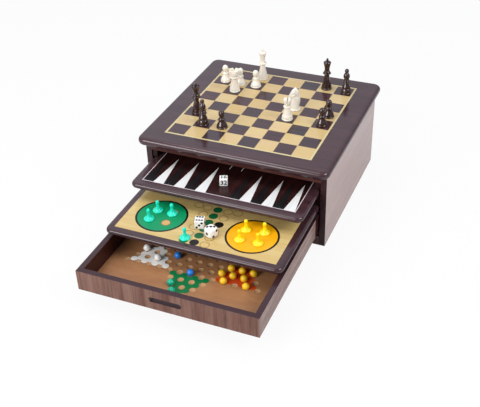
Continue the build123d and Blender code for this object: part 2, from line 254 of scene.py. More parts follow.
def join(*parts):
    """Several pairs of vertices and faces as one pair."""
    starts = np.cumsum([0] + [len(vertices) for vertices, _ in parts[:-1]])
    faces = [[i + start for i in face] for (_, some), start in zip(parts, starts) for face in some]
    return np.concatenate([vertices for vertices, _ in parts]), faces


def through(*points, steps=6):
    """A smooth curve through points: between two of them it is the cubic whose
    slope at each is half the chord between that point's neighbours."""
    p = np.array(points, float)
    p = np.vstack([2 * p[0] - p[1], p, 2 * p[-1] - p[-2]])
    a, b, c, d = (p[k:len(p) - 3 + k, None] for k in range(4))
    t = np.linspace(0, 1, steps, endpoint=False)[None, :, None]
    curve = 0.5 * (2 * b + (c - a) * t + (2 * a - 5 * b + 4 * c - d) * t ** 2
                   + (3 * b - a - 3 * c + d) * t ** 3)
    return np.vstack([curve.reshape(-1, p.shape[1]), p[-2:-1]])


def turned(profile, place, turn=0.0, sides=56, closed=True):
    """A turning: each point of a profile of radius and height is carried round
    the upright axis through a place, to radius times the cosine and the sine
    of its angle."""
    angles = turn + np.linspace(0, 2 * pi, sides, endpoint=False)
    radius = np.maximum(profile[:, 0], 0)[:, None]
    rings = np.stack([place[0] + radius * np.cos(angles), place[1] + radius * np.sin(angles),
                      np.broadcast_to(place[2] + profile[:, 1:2], (len(profile), sides))], axis=-1)
    return skin(rings, closed, closed)


test_can = turned(np.array([(1.0, 0.0), (1.0, 1.0)]), (0, 0, 0), sides=8)
print("a can of eight sides has", len(test_can[1]), "faces before its doubles are welded")


# %% From numbers to a piece of the scene
def piece(name, shape, finishes, body, stands_for=(), crease=32, which=None):
    """Makes a mesh of a pair of vertices and faces, welds its seams, points
    its faces outwards and lets it ride on a body. Edges that turn by more
    than the crease angle stay sharp."""
    vertices, faces = shape
    mesh = bpy.data.meshes.new(name)
    mesh.from_pydata((np.asarray(vertices) * mm).tolist(), [], [list(map(int, f)) for f in faces])
    finishes = finishes if isinstance(finishes, list) else [finishes]
    for finish in finishes:
        mesh.materials.append(finish)
    if which is not None:
        mesh.polygons.foreach_set("material_index", np.asarray(which, np.int32))
    shell = bmesh.new()
    shell.from_mesh(mesh)
    bmesh.ops.remove_doubles(shell, verts=shell.verts, dist=0.004 * mm)
    bmesh.ops.dissolve_degenerate(shell, dist=0.001 * mm, edges=shell.edges)
    bmesh.ops.recalc_face_normals(shell, faces=shell.faces)
    shell.to_mesh(mesh)
    shell.free()
    mesh.polygons.foreach_set("use_smooth", np.ones(len(mesh.polygons), bool))
    mesh.set_sharp_from_angle(angle=radians(crease))
    made = bpy.data.objects.new(name, mesh)
    bpy.context.scene.collection.objects.link(made)
    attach(made, body)
    if stands_for:
        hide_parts(*stands_for)
    return made


print("pieces can be made now")

# %% [markdown]
# ## Veneer
# The boards are fibreboard wrapped in a wood-grain film under satin lacquer:
# mahogany on the frames, walnut on the outside of the box, maple for the pale
# fields. Grain is long in one direction and narrow across, so it is a noise
# whose coordinates are squeezed along the grain. Three of them are laid over
# each other: slow changes of tone, streaks, and fine dark pores. Real pores
# are a few tenths of a millimetre wide; here they are near a millimetre, the
# finest that still shows. The lacquer is a coat with its own gloss, and the
# pores sink into it by a few hundredths.

# %% Grain
def stretched(tree, ways, length, width, detail=3.0, place=None):
    """Noise that runs along one axis and changes across another: its features
    are length by width millimetres. It hardly changes along the third axis,
    because a veneer is a thin leaf that is bent over the edge of its board."""
    scale = [0.12 / (width * mm)] * 3
    scale["XYZ".index(ways[0])] = 1 / (length * mm)
    scale["XYZ".index(ways[1])] = 1 / (width * mm)
    place = place or add(tree, "TexCoord").outputs["Object"]
    squeezed = add(tree, "Mapping", {"Vector": place, "Scale": scale})
    noise = add(tree, "TexNoise", {"Vector": squeezed, "Scale": 1.0, "Detail": detail,
                                   "Roughness": 0.6, "Distortion": 0.25})
    return noise.outputs["Fac"]


def grain(tree, ways, tones, tone_width, streak, streak_width, pore, depth=0.35):
    """Colour and height of a veneer: two tones, streaks over them, and pores."""
    slow = add(tree, "MapRange", {0: stretched(tree, ways, 14 * tone_width, tone_width), 1: 0.36, 2: 0.64})
    ground = add(tree, "Mix", {FACTOR: slow, COLOUR_A: linear(tones[0]),
                               COLOUR_B: linear(tones[1])}, data_type="RGBA")
    lines = add(tree, "MapRange", {0: stretched(tree, ways, 30 * streak_width, streak_width),
                                   1: 0.5, 2: 0.72, 3: 0.0, 4: 0.75})
    streaked = add(tree, "Mix", {FACTOR: lines, COLOUR_A: ground, COLOUR_B: linear(streak)}, data_type="RGBA")
    fine = stretched(tree, ways, 16, 0.9, detail=2.0)
    pores = add(tree, "MapRange", {0: fine, 1: 0.56, 2: 0.7, 3: 0.0, 4: depth})
    colour = add(tree, "Mix", {FACTOR: pores, COLOUR_A: streaked, COLOUR_B: linear(pore)}, data_type="RGBA")
    return colour.outputs[MIXED], pores.outputs[0]


print("a streak 3 mm wide is about", 30 * 3, "mm long")

# %% Lacquer over veneer
def lacquer(tree, shader, colour, pores, sheen, edge=0.5):
    """Feeds a veneer's colour to its shader, sets how dull the lacquer is,
    sinks the pores and softens the edges of the wood."""
    tree.links.new(colour, shader.inputs["Base Color"])
    shader.inputs["Coat Roughness"].default_value = sheen
    soft = add(tree, "Bevel", {"Radius": edge * mm}, samples=4)
    sunk = add(tree, "Bump", {"Height": pores, "Strength": 0.08, "Distance": 0.05 * mm,
                              "Normal": soft}, invert=True)
    tree.links.new(sunk.outputs[0], shader.inputs["Normal"])
    tree.links.new(sunk.outputs[0], shader.inputs["Coat Normal"])


def veneer(name, ways, tones, tone_width, streak, streak_width, pore, sheen=0.15, coat=0.9, depth=0.35):
    """A lacquered veneer: its ways are the axis that the grain runs along and
    the axis across it. The wood under the lacquer is matt, so all the gloss is
    the coat's."""
    material, tree, shader = new_finish(name, Roughness=0.6, Specular_IOR_Level=0.0, Coat_Weight=coat)
    colour, pores = grain(tree, ways, tones, tone_width, streak, streak_width, pore, depth)
    lacquer(tree, shader, colour, pores, sheen)
    return material


print("a veneer's ways are two of X, Y and Z: along the grain, then across it")


# %% Boards with veneer on one face
# The inside colour is a dark red stain, darkened further as painted shade inside the drawer and the carcass.
def veneered_board(name, axis, reach, face, ahead=None, ends=None,
                   rim="#3a2427", inside="#341210", sheen=0.2, coat=0.7):
    """A board with veneer on its outer face only: the face that looks along an
    axis and lies more than reach millimetres from the middle of the box, and,
    if ahead is given, in front of that. Behind that, the outer face gets the
    stain of the inside as painted shade, where the board runs into the carcass.
    Its edges are mahogany, and faces that look sideways have the dark red stain
    of the inside, darkened further as painted shade, or the colour of the ends."""
    material, tree, shader = new_finish(name, Roughness=0.6, Specular_IOR_Level=0.0, Coat_Weight=coat)
    place = add(tree, "TexCoord")
    facing = add(tree, "SeparateXYZ", {0: add(tree, "VectorMath", {0: place.outputs["Normal"]},
                                              operation="ABSOLUTE")})
    away = add(tree, "SeparateXYZ", {0: add(tree, "VectorMath", {0: place.outputs["Object"]},
                                            operation="ABSOLUTE")})
    looks = add(tree, "Math", {0: facing.outputs[axis], 1: 0.7}, operation="GREATER_THAN")
    outer = add(tree, "Math", {0: away.outputs[axis], 1: reach * mm}, operation="GREATER_THAN")
    shown = add(tree, "Math", {0: looks, 1: outer}, operation="MULTIPLY")
    if ahead is not None:
        y = add(tree, "SeparateXYZ", {0: place.outputs["Object"]}).outputs["Y"]
        front = add(tree, "Math", {0: y, 1: ahead * mm}, operation="LESS_THAN")
        shown = add(tree, "Math", {0: shown, 1: front}, operation="MULTIPLY")
    sideways = add(tree, "Math", {0: facing.outputs["X"], 1: 0.7}, operation="GREATER_THAN")
    # Random patches between the inside colour, which is partly painted shade, and the edge colour.
    patches = add(tree, "MapRange", {0: stretched(tree, "YZ", 60, 9), 1: 0.35, 2: 0.65, 3: 0.0, 4: 0.5})
    stain = add(tree, "Mix", {FACTOR: patches, COLOUR_A: linear(inside), COLOUR_B: linear(rim)},
                data_type="RGBA")
    other = add(tree, "Mix", {FACTOR: sideways, COLOUR_A: linear(rim),
                              COLOUR_B: linear(ends) if ends else stain}, data_type="RGBA")
    colour, pores = grain(tree, *face)
    whole = add(tree, "Mix", {FACTOR: shown, COLOUR_A: other, COLOUR_B: colour},
                data_type="RGBA")
    lacquer(tree, shader, whole.outputs[MIXED], pores, sheen)
    return material


print("veneer can be laid now")

# %% [markdown]
# ## The woods of the box
# All the wood is one recipe with other numbers: two tones, a streak and a pore,
# each with its colour and its width. A picture of a board would bring its own
# light along and repeat itself, so the grain is grown from noise instead.

# %% The woods
# Mahogany-grain film under satin lacquer: plum brown, nearly black in shade,
# with a long soft shine that pales towards the back of each board.
mahogany = veneer("mahogany_veneer_satin", "XY", ("#3b2529", "#462c30"), 22, "#2e1b1f", 3.2, "#1f1013",
                  sheen=0.15, coat=1.0)
# The same film on the apron, redder and duller, because the lid shades it.
mahogany_front = veneer("mahogany_apron_veneer", "XZ", ("#5c322b", "#4b2a25"), 12, "#3a1d1b", 3.0, "#241110",
                        sheen=0.3, coat=0.4)
# Walnut-grain film, its grain level on the sides and upright on the drawer's
# front: a greyed brown with fine streaks. On the carcass's sides the tones are
# paler than on the drawer's: painted sheen, the glare of the bright floor at a
# grazing angle.
side_grain_and_sheen = ("YZ", ("#c0aaa4", "#b6a099"), 30, "#ad968f", 3.2, "#947d76", 0.2)
drawer_grain = ("YZ", ("#a1877f", "#8d7167"), 14, "#765d55", 3.0, "#574039", 0.3)
upright = ("ZX", ("#826052", "#6a4337"), 13, "#523429", 3.2, "#3c251c", 0.4)
walnut_side = veneered_board("walnut_carcass_side", "X", 144.0, side_grain_and_sheen)
# The drawer's outer side is veneer only in front of y = -144 mm: behind it, its dark red is painted shade
# where the side runs into the carcass.
walnut_drawer_side = veneered_board("walnut_drawer_side", "X", 133.5, drawer_grain, ahead=-144)
walnut_drawer_front = veneered_board("walnut_drawer_front", "Y", 366.5, upright, ends="#8f776f", sheen=0.24,
                                     coat=0.6)
# Maple-grain film: honey-coloured, with faint level streaks.
maple = veneer("maple_veneer_satin", "XY", ("#cfb67b", "#c6a96a"), 18, "#bb985c", 3.5, "#a9854d", depth=0.22)
print("finishes so far:", len(bpy.data.materials))

# %% [markdown]
# ## Boards with a rounded nose
# The chess board and the two trays are boards whose edge is a half circle. A
# ring at angle a up that half circle is the board's outline, moved inwards by
# r(1 - cos a), where r is half the thickness, and raised to r sin a above the
# middle. One extra ring just inside the flat keeps the smooth shading of the
# nose from creeping over the board. The back edge of a tray is sawn square.

# %% Boards
def rounded_rectangle(x0, x1, y0, y1, front, back, z, steps=9):
    """A ring round a rectangle whose front and back corners have these radii:
    a quarter circle at each corner, and straight lines between them."""
    ring = []
    for x, y, radius, start in ((x1, y0, front, -90), (x1, y1, back, 0),
                                (x0, y1, back, 90), (x0, y0, front, 180)):
        a = np.radians(np.linspace(start, start + 90, steps))
        ring.append(np.stack([x - np.sign(x) * radius + radius * np.cos(a),
                              y + (radius if y == y0 else -radius) + radius * np.sin(a),
                              np.full(steps, z)], axis=-1))
    return np.concatenate(ring)


def nosed_board(low, high, corner, recess, square_back):
    """A board with half-round edges and a shallow recess in its top."""
    r = (high[2] - low[2]) / 2
    middle = low[2] + r
    rings = []

    def outline(inset, z):
        back_inset, back = (0, 0) if square_back else (inset, max(corner - inset, 0))
        rings.append(rounded_rectangle(low[0] + inset, high[0] - inset, low[1] + inset,
                                       high[1] - back_inset, max(corner - inset, 0), back, z))

    outline(r + 0.6, low[2])
    for a in np.linspace(-pi / 2, pi / 2, 15):
        outline(r * (1 - cos(a)), middle + r * sin(a))
    outline(r + 0.6, high[2])
    (x0, y0), (x1, y1) = recess
    for z in (high[2], high[2] - veneer_thickness):
        rings.append(rounded_rectangle(x0, x1, y0, y1, 0, 0, z))
    return skin(np.stack(rings))


def flat(node):
    """The plan rectangle of a piece of the construction."""
    low, high = span(node)
    return low[:2], high[:2]


piece("chess_board_frame", nosed_board(lid_low, lid_high, 13.0, flat("chess_stringing"), False),
      mahogany, "carcass", ["chess_lid"], crease=40)
piece("backgammon_board_frame",
      nosed_board(backgammon_low, backgammon_high, 11.0, flat("backgammon_lines"), True),
      mahogany, "backgammon_tray", ["backgammon_board"], crease=40)
piece("ludo_board_frame", nosed_board(ludo_low, ludo_high, 11.0, flat("ludo_panel"), True),
      mahogany, "ludo_tray", ["ludo_board"], crease=40)
print("three boards framed")

# %% [markdown]
# ## Squares, points and panels
# The chess squares are cut from many leaves of veneer, so each has its own
# tone and its own figure. Dividing a point by the size of a square and
# dropping the fraction gives every square its own number, and white noise
# turns that number into a tone and into a place to read the grain from. The
# dark squares are printed a little small: a hair of pale ground shows round
# each.

# %% Chess squares
def chess_veneer(name, tones, streak, pore, margin=None):
    """Squares of veneer, each with its own leaf. A margin is a pale hair line
    round each square: its width in millimetres and its colour."""
    material, tree, shader = new_finish(name, Roughness=0.6, Specular_IOR_Level=0.0, Coat_Weight=1.0)
    place = add(tree, "TexCoord").outputs["Object"]
    corner = [-low / square for low in squares_low[:2]] + [0.0]
    scale = 1 / (square * mm)
    counted = add(tree, "Mapping", {"Vector": place, "Location": corner, "Scale": (scale, scale, 0)})
    number = add(tree, "VectorMath", {0: counted}, operation="FLOOR")
    luck = add(tree, "TexWhiteNoise", {"Vector": number}, noise_dimensions="3D")
    leaf = add(tree, "VectorMath", {0: luck.outputs["Color"], 1: place}, operation="ADD")
    streaks = add(tree, "MapRange", {0: stretched(tree, "XY", 120, 5, place=leaf), 1: 0.45, 2: 0.7})
    ground = add(tree, "Mix", {FACTOR: luck.outputs["Value"], COLOUR_A: linear(tones[0]),
                               COLOUR_B: linear(tones[1])}, data_type="RGBA")
    figured = add(tree, "Mix", {FACTOR: streaks, COLOUR_A: ground, COLOUR_B: linear(streak)},
                  data_type="RGBA")
    pores = add(tree, "MapRange", {0: stretched(tree, "XY", 14, 0.8, 2.0, leaf), 1: 0.57, 2: 0.7, 4: 0.3})
    colour = add(tree, "Mix", {FACTOR: pores, COLOUR_A: figured,
                               COLOUR_B: linear(pore)}, data_type="RGBA").outputs[MIXED]
    if margin:
        width, pale = margin
        part = add(tree, "VectorMath", {0: counted}, operation="FRACTION")
        centred = add(tree, "VectorMath", {0: part, 1: (0.5, 0.5, 0)}, operation="SUBTRACT")
        ways = add(tree, "SeparateXYZ", {0: add(tree, "VectorMath", {0: centred},
                                                operation="ABSOLUTE")})
        edge = add(tree, "Math", {0: ways.outputs["X"], 1: ways.outputs["Y"]}, operation="MAXIMUM")
        hair = add(tree, "Math", {0: edge, 1: 0.5 - width / square}, operation="GREATER_THAN")
        colour = add(tree, "Mix", {FACTOR: hair, COLOUR_A: colour,
                                   COLOUR_B: linear(pale)}, data_type="RGBA").outputs[MIXED]
    lacquer(tree, shader, colour, pores.outputs[0], 0.17)
    return material


def dress(material, *nodes):
    """Gives pieces of the construction their finish."""
    for node in nodes:
        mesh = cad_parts[node].data
        mesh.materials.clear()
        mesh.materials.append(material)


# Walnut and maple leaves under one satin lacquer: no two squares are quite alike.
dress(chess_veneer("walnut_chess_squares", ("#3b2c31", "#4b2c2d"), "#2f2127", "#20161a", (0.5, "#b39b6c")),
      "chess_squares_dark")
dress(chess_veneer("maple_chess_squares", ("#d0b780", "#c4a76c"), "#ceae82", "#a98753"),
      "chess_squares_light")
# Holly stringing: the palest wood on the board, with no figure of its own.
dress(new_finish("holly_stringing", Base_Color=linear("#cdbb88"), Roughness=0.35, Coat_Weight=0.3)[0],
      "chess_stringing")
print("chess board laid")

# %% [markdown]
# ## The other veneers
# The backgammon field is veneer stained black, with its points printed on it in
# flat ink, and the ludo panel is plain maple. They are pieces of the
# construction with exact edges already, so nothing is modelled again: each
# only gets its finish in place of the plain one.

# %% Backgammon field, ludo panel and carcass
# Black-stained veneer: red shows through the stain where the grain is open.
backgammon_black = veneer("black_stained_veneer", "YX", ("#27100f", "#351817"), 9, "#120809", 2.2, "#080404",
                          sheen=0.26, depth=0.6)
# Printed points, white and black: flat ink that lets the grain show a little.
point_white = veneer("white_printed_point", "YX", ("#e4e3e0", "#dad9d7"), 8, "#ceccca", 2.0, "#c2bfbe",
                     coat=0.6, depth=0.2)
point_black = veneer("black_printed_point", "YX", ("#101112", "#1a1a1b"), 7, "#2d1619", 1.7, "#060606",
                     sheen=0.3, coat=0.5, depth=0.2)
dress(backgammon_black, "backgammon_field")
dress(point_white, "backgammon_points_light")
dress(point_black, "backgammon_points_dark")
# A painted line, semi-matt and faintly pink from the stain under it.
dress(new_finish("pale_border_line", Base_Color=linear("#cfc4c6"), Roughness=0.4)[0], "backgammon_lines")
dress(maple, "ludo_panel")
dress(walnut_side, "side_panel_left", "side_panel_right")
dress(walnut_drawer_side, "drawer_side_left", "drawer_side_right")
dress(walnut_drawer_front, "drawer_front")
dress(mahogany_front, "front_apron")
# Softwood stained dark red for the strips inside, darkened nearly to black as painted shade inside the
# carcass, and plain film outside.
inside = veneer("dark_red_stain_and_shade_wood", "XZ", ("#240d0b", "#2c100e"), 14, "#1c0a09", 3, "#120605",
                sheen=0.3, coat=0.4)
dress(inside, "drawer_back", "tray_runners", "drawer_guides", "drawer_skids", "top_cleats")
for name, tones, streak, node in (
        ("plain_back_board", ("#5b4a45", "#66544e"), "#4d3e3a", "back_panel"),
        ("plain_base_board", ("#6a5650", "#5d4a45"), "#50403b", "bottom_panel")):
    dress(veneer(name, "XZ", tones, 20, streak, 3, "#382c29", sheen=0.35, coat=0.3), node)
print("carcass dressed")

# %% [markdown]
# ## The drawer's floor
# The floor is a board with a marble pocket at each of the 121 points of a
# six-pointed star. The points form a lattice of triangles: row j lies j rows
# behind the middle and column i is i half-pitches to the right, where i + j is
# even. How far a point lies along six directions tells whether it is in the
# star. The board's top is triangulated around the pockets' rims, and a
# shallow bowl fills each rim.

# %% A sheet with round pockets
def pocketed_sheet(width, depth, centres, radius, bowl, sides=20, step=None):
    """A flat sheet round the origin with round pockets, as points and
    triangles with a flag that is 1 in a pocket. The third coordinate is the
    depth below the sheet. A pocket is a stack of circles: the bowl lists their
    radii, as shares of the rim's, and their depths. A step puts extra points
    on the sheet, so that it can be bent."""
    around = np.linspace(0, 2 * pi, sides, endpoint=False)
    circle = np.stack([np.cos(around), np.sin(around)], axis=-1)
    x, y = width / 2, depth / 2
    count = max(round(width / step), 1) if step else 1
    t = np.linspace(-1, 1, count + 1)
    border = np.concatenate([np.stack([t[:-1] * x, -y + 0 * t[:-1]], -1),
                             np.stack([x + 0 * t[:-1], t[:-1] * y], -1),
                             np.stack([-t[:-1] * x, y + 0 * t[:-1]], -1),
                             np.stack([-x + 0 * t[:-1], -t[:-1] * y], -1)])
    centres = np.array(centres, float).reshape(-1, 2)
    loops = [border] + [c + radius * circle for c in centres]

    def away(places):
        return np.linalg.norm(places[..., None, :] - centres, axis=-1)

    points, edges = [], []
    for loop in loops:
        first = len(points)
        points += loop.tolist()
        edges += [(first + k, first + (k + 1) % len(loop)) for k in range(len(loop))]
    if step:
        grid = np.stack(np.meshgrid(t[1:-1] * x, t[1:-1] * y), -1).reshape(-1, 2)
        points += grid[(away(grid) > 1.15 * radius).all(axis=-1)].tolist()
    cut = delaunay_2d_cdt([Vector(p) for p in points], edges, [], 0, 1e-7)
    found, triangles = np.array([list(p) for p in cut[0]]), np.array(cut[2])
    outside = (away(found[triangles]).max(axis=1) > 1.02 * radius).all(axis=-1)
    vertices = [np.column_stack([found, np.zeros(len(found))])]
    faces, flags, start = triangles[outside].tolist(), [0] * int(outside.sum()), len(found)
    for c in centres:
        rings = np.stack([np.column_stack([c + share * radius * circle, np.full(sides, sunk)])
                          for share, sunk in [(1.0, 0.0)] + bowl])
        some, quads = skin(rings, closed_start=False)
        vertices.append(some)
        faces += [[int(i) + start for i in q] for q in quads]
        flags += [1] * len(quads)
        start += len(some)
    return np.concatenate(vertices), faces, flags


print("one pocket alone:", len(pocketed_sheet(10, 10, [(0, 0)], 3, [(0.5, 1.0)])[1]), "faces")

# %% The lattice of the star
half_pitch = 8.3
row_pitch = half_pitch * sqrt(3)
rays = [radians(-90 + 60 * k) for k in range(6)]            # the directions of the star's arms


def star_points():
    """The lattice points of the star. It is two triangles over each other, and
    a point is in a triangle if it reaches at most four rows along each of the
    three rays that are square to its sides."""
    kept = []
    for j in range(-8, 9):
        for i in range(-12, 13):
            reach = [(i * half_pitch * cos(a) + j * row_pitch * sin(a)) / row_pitch for a in rays]
            if (i + j) % 2 == 0 and (max(reach[0::2]) < 4.1 or max(reach[1::2]) < 4.1):
                kept.append((i * half_pitch, j * row_pitch))
    return kept


star_y = drawer_low[1] + 135.5
middle_y = (floor_low[1] + floor_high[1]) / 2
pockets = [(x, y + star_y - middle_y) for x, y in star_points()]
print("marble pockets:", len(pockets))

# %% The floor's shape
width, depth = floor_high[0] - floor_low[0], floor_high[1] - floor_low[1]
bowl = [(0.86, 0.45), (0.66, 0.9), (0.42, 1.28), (0.18, 1.46)]
vertices, faces, flags = pocketed_sheet(width, depth, pockets, 4.5, bowl)
vertices = np.column_stack([vertices[:, 0], vertices[:, 1] + middle_y, floor_high[2] - vertices[:, 2]])
rim = rounded_rectangle(floor_low[0], floor_high[0], floor_low[1], floor_high[1], 0, 0, floor_high[2])
walls = skin(np.stack([rim, rim - [0, 0, floor_high[2] - floor_low[2]]]), closed_start=False)
print("floor triangulated:", len(faces), "faces")

# %% [markdown]
# ## The star's print
# Each arm of the star is printed in its own colour, up to a line that swings
# round the holes. It could be a painted picture, but a rule on coordinates
# stays crisp from close by: a place belongs to an arm if it lies past the
# scalloped line across that arm's ray and past neither of the lines beside it.

# %% The star's print
# Printed hardboard: semi-matt ink over a warm brown board.
star_print, tree, shader = new_finish("printed_hardboard", Roughness=0.42, IOR=1.48, Coat_Weight=0.15)
place = add(tree, "TexCoord").outputs["Object"]
centred = add(tree, "VectorMath", {0: place, 1: (0, star_y * mm, 0)}, operation="SUBTRACT")
along, across = ([add(tree, "VectorMath", {0: centred, 1: (cos(a + turn), sin(a + turn), 0)},
                      operation="DOT_PRODUCT") for a in rays] for turn in (0, pi / 2))


def past_scallops(k, way):
    """1 past the scalloped line through the fourth row of holes along ray k.
    Between two holes the line is an arc of 5.1 mm round the middle of their
    lattice triangle, which lies 4.8 mm along the way: 1 is outwards, -1 inwards."""
    off = add(tree, "Math", {0: across[k], 1: half_pitch * mm}, operation="PINGPONG")
    off = add(tree, "Math", {0: half_pitch * mm, 1: off}, operation="SUBTRACT")
    squared = add(tree, "Math", {0: off, 1: 2.0}, operation="POWER")
    left = add(tree, "Math", {0: (5.1 * mm) ** 2, 1: squared}, operation="SUBTRACT")
    kept = add(tree, "Math", {0: left, 1: 0.0}, operation="MAXIMUM")
    root = add(tree, "Math", {0: kept, 1: 0.5}, operation="POWER")
    line = add(tree, "Math", {0: root, 1: -way, 2: (4 * row_pitch + way * 4.8) * mm},
               operation="MULTIPLY_ADD")
    return add(tree, "Math", {0: along[k], 1: line}, operation="GREATER_THAN")


beyond = [past_scallops(k, 1) for k in range(6)]
outside = [past_scallops(k, -1) for k in range(6)]
# The board's own brown, in soft clouds, and then the six arms over it.
cloud = add(tree, "MapRange", {0: stretched(tree, "XY", 30, 12), 1: 0.35, 2: 0.65})
colour = add(tree, "Mix", {FACTOR: cloud, COLOUR_A: linear("#ab7a52"),
                           COLOUR_B: linear("#a06e49")}, data_type="RGBA").outputs[MIXED]
arm_colours = ("#04703a", "#cc461a", "#f0c020", "#2350a0", "#1c1a1a", "#efece6")
for k, chart in enumerate(arm_colours):
    beside = add(tree, "Math", {0: outside[k - 1], 1: outside[(k + 1) % 6]}, operation="MAXIMUM")
    arm = add(tree, "Math", {0: beyond[k], 1: beside}, operation="GREATER_THAN")
    colour = add(tree, "Mix", {FACTOR: arm, COLOUR_A: colour, COLOUR_B: linear(chart)},
                 data_type="RGBA").outputs[MIXED]
tree.links.new(colour, shader.inputs["Base Color"])
# The board itself in the holes: matt, and a shade paler than its print.
bare_board = new_finish("bare_hardboard", Base_Color=linear("#b48a60"), Roughness=0.8)[0]
sheet_and_walls = join((vertices, faces), walls)
piece("star_floor", sheet_and_walls, [star_print, bare_board], "drawer",
      ["drawer_floor"], which=flags + [0] * len(walls[1]))
print("star floor cut")

# %% [markdown]
# ## The chessmen
# The men have the common tournament shape. All but the knight are turnings, so
# each is one profile of radius and height. A profile is made of smooth
# stretches: a curve runs through the points of one stretch, and where two
# stretches meet there is a crisp line, as a turning tool leaves it. The queen's
# rim and the rook's wall are cut afterwards, by letting the height of their
# rim depend on the angle.

# %% Profiles of the pawn and the bishops
def profile(height, *stretches):
    """Smooth stretches end to end, scaled so that the last point is at a height."""
    points = np.vstack([through(*stretch) if len(stretch) > 2 else np.array(stretch, float)
                        for stretch in stretches])
    points[:, 1] *= height / points[-1, 1]
    return points


plinth = [[(0, 0), (8.3, 0)], [(8.3, 0), (8.7, 0.6), (8.7, 1.8), (8.3, 2.5)],
          [(8.3, 2.5), (7.9, 2.9), (7.9, 3.3)]]
pawn = profile(29, *plinth, [(7.9, 3.3), (8.1, 4.2), (7.6, 6), (6.2, 8.8), (4.9, 11.6), (4, 14.2)],
               [(4, 14.2), (4.9, 15.4), (5, 16.5), (4.5, 17.6), (3.7, 18.3)],
               [(3.7, 18.3), (3.4, 19.2), (3.3, 20.4)],
               [(3.3, 20.4), (4.3, 22.4), (4.75, 25), (4.5, 28), (3.2, 30.6), (1.6, 31.7), (0, 32)])
bishop = profile(42.5, *plinth, [(7.9, 3.3), (8.3, 4.6), (8, 7), (7, 9.4), (6.2, 10.3)],
                 [(6.2, 10.3), (6.6, 11.5), (6.4, 13.6), (5.2, 16.6), (4.1, 19.2)],
                 [(4.1, 19.2), (5.6, 20.4), (6.2, 21.6), (5.8, 22.8), (4.6, 23.8)],
                 [(4.6, 23.8), (5.2, 24.8), (4.9, 26), (3.9, 27.2)],
                 [(3.9, 27.2), (4, 29), (4.9, 31.6), (5.2, 34), (4.6, 37), (3.2, 39.8), (2.4, 41.2)],
                 [(2.4, 41.2), (3.2, 42.6), (3.35, 44.4), (2.7, 46.7), (1.4, 47.7), (0, 48)])
split = profile(37, *plinth, [(7.9, 3.3), (8.3, 4.8), (7.9, 7.5), (6.8, 10.2)],
                [(6.6, 10.2), (6.2, 13), (5.2, 17.5), (4.2, 21.5), (3.9, 23)],
                [(3.9, 23), (5.6, 24), (6.2, 25), (5.8, 26), (4.3, 26.8)], [(4.3, 26.8), (4.2, 27.6)],
                [(4.2, 27.6), (4.7, 29.5), (5.4, 32), (6.1, 35), (6.3, 37.6), (5.4, 40), (3, 41.6), (0, 42)])
print("pawn and bishops:", [len(p) for p in (pawn, bishop, split)], "points")

# %% Profiles of the king, the queen and the rook
queen = profile(51.5, *plinth, [(7.9, 3.3), (8.1, 4.6), (7.7, 6.6)],
                [(7.3, 6.6), (7.2, 8.5), (6.3, 13), (5, 18.5), (4, 24), (3.6, 28.5)],
                [(3.6, 28.5), (5.6, 29.8), (6.8, 31.6), (6.5, 33.2), (5, 34.4)],
                [(5, 34.4), (5.6, 35.6), (5.4, 37), (4.3, 38.4)],
                [(4.3, 38.4), (4.1, 41.5), (4.5, 45.5), (5.4, 49.5), (6.6, 53.4)],
                [(6.6, 53.4), (6, 53.8), (5.4, 53), (4.4, 52.2), (2.4, 52.6)], [(2.4, 52.6), (1.7, 53.3)],
                [(1.7, 53.3), (2.5, 54.8), (2.6, 56.6), (2, 58.4), (0, 59.2)])
king = profile(54, *plinth, [(7.9, 3.3), (8.2, 4.8), (7.7, 7)],
               [(7.4, 7), (7.2, 9.5), (6.2, 14.5), (5, 20), (4.1, 25.5), (3.9, 29)],
               [(3.9, 29), (5.6, 30), (6.6, 31.2), (6.3, 32.4), (4.6, 33.4)],
               [(4.6, 33.4), (5.1, 34.6), (4.2, 36.2)],
               [(4.2, 36.2), (4, 40), (4.5, 44.5), (5.4, 48.6), (6.1, 51.6)],
               [(6.1, 51.6), (6, 52.8), (4.8, 54.3), (3, 55.3), (1.2, 55.9)],
               [(1.2, 55.9), (1.1, 56.5), (1.7, 57.4), (1.9, 58.6), (1.3, 60.2), (0, 61)])
rook = profile(37, *plinth, [(7.9, 3.3), (8.2, 4.8), (7.8, 7)],
               [(7.4, 7), (7.3, 9), (6.6, 13), (5.8, 18), (5.3, 23), (5.2, 26)],
               [(5.2, 26), (7.4, 27.2), (8.2, 28.6), (7.8, 29.8), (6.6, 30.6)],
               [(6.6, 30.6), (7.6, 32), (8.2, 34), (8.4, 37.5)], [(8.4, 37.5), (8.4, 42)],
               [(8.4, 42), (6.1, 42)], [(6.1, 42), (6.1, 37.6)], [(6.1, 37.6), (0, 37.6)],
               [(0, 37.6), (0, 42)])[:-1]       # the last point only sets the scale
print("king, queen and rook:", [len(p) for p in (king, queen, rook)], "points")


# %% Cuts across a turning
def on_square(column, row, right=0.0, back=0.0):
    """A place on a square, counted from the left front corner, a little off its middle."""
    return (squares_low[0] + (column + 0.5) * square + right,
            squares_low[1] + (row + 0.5) * square + back, squares_high[2])


def placed(vertices, place, turn):
    """Points swung about the upright axis and then moved to a place."""
    c, s = cos(turn), sin(turn)
    return vertices @ np.array([[c, s, 0], [-s, c, 0], [0, 0, 1]]) + place


def crowned(place, turn):
    """The queen: her rim dips ten times on its way round, by 1.5 mm times the
    squared cosine of five times the angle."""
    vertices, faces = turned(queen, (0, 0, 0), turn, sides=80)
    around = np.arctan2(vertices[:, 1], vertices[:, 0]) - turn
    high = np.clip((vertices[:, 2] - 43) / 4.5, 0, 1) * (np.hypot(vertices[:, 0], vertices[:, 1]) > 4.6)
    vertices[:, 2] -= 1.5 * high * np.cos(5 * around) ** 2
    return vertices + place, faces


